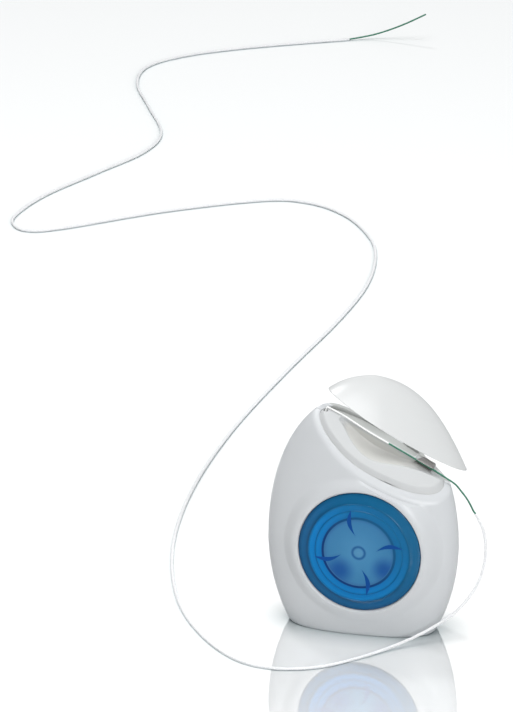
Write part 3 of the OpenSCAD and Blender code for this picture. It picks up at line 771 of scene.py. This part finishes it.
# ---------------------------------------------------------------- cutter clip: folded steel sheet
def clip_sheet():
    """Strip of sheet, folded back over itself along a path across the deck, and narrower at its front edge."""
    t, cols = 0.14, 24          # half the sheet's thickness, and steps along the clip
    path = [(0.15, 0.65), (1.3, 0.62), (1.95, 0.66), (2.2, 0.9), (2.22, 1.15), (2.05, 1.42), (1.7, 1.55),
            (1.0, 1.58), (0.62, 1.5)]
    path = [np.array([0, *q]) for q in path]
    line = smooth_route(path, 6)[:, 1:]
    n = len(line)
    d = np.gradient(line, axis=0)
    d /= np.linalg.norm(d, axis=1)[:, None]
    side = np.stack([-d[:, 1], d[:, 0]], 1)
    verts = []
    for k in range(n):
        back = line[k][0] / 2.2
        left, right = 8.0 + 1.6 * max(0, min(1, (back - 0.15) / 0.85)), 12.6
        for off in (t, -t):
            for c in range(cols + 1):
                q = line[k] + side[k] * off
                verts.append(at_rim(left + (right - left) * c / cols, q[0], q[1]))
    per = cols + 1
    faces = []
    for k in range(n - 1):
        for c in range(cols):
            a = k * 2 * per + c
            b = (k + 1) * 2 * per + c
            faces += [(a, a + 1, b + 1, b), (a + per, b + per, b + per + 1, a + per + 1)]
        for c in (0, cols):
            a, b = k * 2 * per + c, (k + 1) * 2 * per + c
            faces.append((a, b, b + per, a + per) if c == 0 else (a, a + per, b + per, b))
    for k in (0, n - 1):
        for c in range(cols):
            a = k * 2 * per + c
            faces.append((a, a + per, a + per + 1, a + 1) if k == 0 else (a, a + 1, a + per + 1, a + per))
    return sharp_by_angle(clean(mesh_object("cutter", verts, faces)), 40)


clip = clip_sheet()
finish_piece(clip, "case", "clip_steel", ["cutter_clip"], STEEL)

# ---------------------------------------------------------------- window
front_face = [(0, 7.05), (14.7, 7.05), (14.7, 8.1), (14.62, 8.3), (14.4, 8.42), (13.4, 8.62), (12.5, 8.82),
              (12.35, 8.93), (12.2, 8.95), (12.1, 8.84), (11.9, 8.8), (10.75, 8.8), (10.6, 8.82), (10.5, 8.93),
              (10.35, 8.94), (9.2, 8.92), (0, 8.92)]
pane = [sharp_by_angle(revolve("pane", front_face, at_window, 160), 25)]
pane.append(sharp_by_angle(revolve("skirt", [(8.4, 5.9), (8.9, 5.9), (8.9, 7.0), (8.4, 7.0)], at_window, 120), 40))
pane.append(sharp_by_angle(revolve("hub", [(1.5, 6.15), (2.1, 6.15), (2.1, 7.0), (1.5, 7.0)], at_window, 60), 40))
pane = join("window_pane", pane)
finish_piece(pane, "case", "window_blue", ["window"], BLUE)
FIN_START, FIN_LONG, FIN_WIDE, FIN_BOW, FIN_STEPS = 4.2, 6.6, 0.52, 0.95, 24
fins = []
for k in range(4):
    turn = math.radians(100 + 90 * k)
    outline = []
    for side, order in ((1, range(0, FIN_STEPS + 1)), (-1, range(FIN_STEPS - 1, 0, -1))):
        for i in order:
            t = i / FIN_STEPS
            x = FIN_START + FIN_LONG * t
            y = FIN_BOW * math.sin(math.pi * t) + side * FIN_WIDE * math.sin(math.pi * t ** 1.25)
            outline.append((x * math.cos(turn) - y * math.sin(turn), x * math.sin(turn) + y * math.cos(turn)))
    fins.append(sharp_by_angle(prism("fin", outline, 8.9, 8.95, lambda w, u, v: at_window(u, v, w)), 40))
fins = join("window_fins", fins)
finish_piece(fins, "case", "window_blue", None, INK)

# ---------------------------------------------------------------- bobbin and winding
reel = [
    revolve("drum", [(8.2, -5.4), (8.9, -5.4), (8.9, 5.3), (8.8, 5.6), (8.3, 5.6), (8.2, 5.5)], at_window, 140),
    revolve("flange", [(8.8, -5.4), (12.7, -5.4), (12.9, -5.2), (12.9, -4.8), (12.7, -4.6), (8.8, -4.6)], at_window,
            140),
    revolve("lip", [(8.8, 5.2), (9.3, 5.2), (9.4, 5.3), (9.4, 5.5), (9.3, 5.6), (8.8, 5.6)], at_window, 140),
    revolve("web", [(2.5, 4.1), (8.3, 4.1), (8.3, 4.9), (2.5, 4.9)], at_window, 100),
    revolve("sleeve", [(1.45, -5.4), (2.6, -5.4), (2.6, 5.4), (2.45, 5.6), (1.6, 5.6), (1.45, 5.5)], at_window, 60)]
reel = join("reel", [sharp_by_angle(p, 35) for p in reel])
finish_piece(reel, "bobbin", "bobbin_white", ["bobbin"], BOBBIN_WHITE)


def winding(turns, per_turn, radii, depths):
    """Route of some turns about the window's axis, from the first radius and depth to the second."""
    t = np.linspace(0, turns, turns * per_turn + 1)
    ang = math.pi + 2 * math.pi * t
    rad, y = (ends[0] + (ends[1] - ends[0]) * t / turns for ends in (radii, depths))
    return np.stack([WIN_X + rad * np.cos(ang), y, WIN_Z + rad * np.sin(ang)], 1)


wound = [tube("outer_layer", winding(23, 60, (11.99, 11.99), (4.35, -4.95)), WOUND_R, 8, 0.03, 7),
         tube("front_layer", winding(7, 70, (11.75, 9.45), (-4.95, -4.95)), 0.2, 8, 0.04, 8)]
wound.append(revolve("core", [(8.92, -4.58), (11.8, -4.58), (11.8, 4.9), (8.92, 4.9)], at_window, 140))
wound = join("wound_floss", wound)
finish_piece(wound, "bobbin", "floss_white", ["floss_winding"], FLOSS)

# ---------------------------------------------------------------- floor, lights, world
def square(name, half, material, at):
    """A level square of the stage."""
    ob = mesh_object(name, [(-half, -half, 0), (half, -half, 0), (half, half, 0), (-half, half, 0)], [(0, 1, 2, 3)],
                     False)
    ob.data.materials.append(material)
    ob.location = at
    return ob


def floor_white():
    """Pale floor that mirrors what stands near its middle, with a soft shade where things touch it."""
    g = Graph("floor_white")
    matt, shine = g.new("BsdfDiffuse"), g.new("BsdfGlossy")
    shine.inputs["Roughness"].default_value = 0.035
    away = g.new("VectorMath")
    away.operation = "DISTANCE"
    g.put(g.new("NewGeometry").outputs["Position"], away.inputs[0])
    mirror = g.span(away.outputs["Value"], 0.02, 0.16, 0.52, 0.0, True)
    touch = g.new("AmbientOcclusion")
    touch.inputs["Distance"].default_value = 0.009
    for shader, colour in ((matt, (0.79, 0.80, 0.80, 1)), (shine, (1, 1, 1, 1))):
        g.put(g.mix(touch.outputs["AO"], (0.4, 0.48, 0.5, 1), colour), shader.inputs["Color"])
    return g.surface(mirror, matt, shine)


def card_white():
    """Evenly lit white, for the card that the floor mirrors behind the object."""
    g = Graph("card_white")
    glow = g.new("Emission")
    glow.inputs["Strength"].default_value = 1.15
    g.links.new(glow.outputs["Emission"], g.nodes["Material Output"].inputs["Surface"])
    return g.mat


floor = square("floor", 3, floor_white(), (0, 0, -0.00002))
card = square("card", 0.6, card_white(),
              (-3 * math.sin(AZ) * math.cos(EL), 3 * math.cos(AZ) * math.cos(EL), 3 * math.sin(EL)))
card.rotation_euler = (math.pi / 2 - EL, 0, AZ + math.pi)
card.visible_camera = False

# Pale light from all round, stronger on the right
world = bpy.data.worlds.new("world")
bpy.context.scene.world = world
world.use_nodes = True
nodes, links = world.node_tree.nodes, world.node_tree.links
around = nodes.new("ShaderNodeTexCoord")
sides = nodes.new("ShaderNodeSeparateXYZ")
links.new(around.outputs["Generated"], sides.inputs["Vector"])
shade = nodes.new("ShaderNodeMapRange")
shade.interpolation_type = "SMOOTHSTEP"
for key, value in (("From Min", -0.9), ("From Max", 0.7), ("To Min", 0.08), ("To Max", 0.4)):
    shade.inputs[key].default_value = value
links.new(sides.outputs["X"], shade.inputs["Value"])
nodes["Background"].inputs[0].default_value = (0.97, 0.985, 1, 1)
links.new(shade.outputs["Result"], nodes["Background"].inputs[1])


def area(name, at, size, power, target=(0, 0, 0.025)):
    """Square soft light, aimed at the case."""
    light = bpy.data.lights.new(name, "AREA")
    light.size, light.energy = size, power
    ob = bpy.data.objects.new(name, light)
    ob.location = at
    ob.rotation_euler = (Vector(target) - Vector(at)).to_track_quat("-Z", "Y").to_euler()
    bpy.context.scene.collection.objects.link(ob)


area("key", (-0.1, -0.15, 1.1), 0.7, 11.5)
area("front", (0.75, -1.15, 0.55), 0.5, 10)
sun = bpy.data.objects.new("sun", bpy.data.lights.new("sun", "SUN"))
sun.data.energy, sun.data.angle = 0.9, math.radians(7)
sun.rotation_euler = Vector((0.5, -0.55, -1)).to_track_quat("-Z", "Y").to_euler()
bpy.context.scene.collection.objects.link(sun)
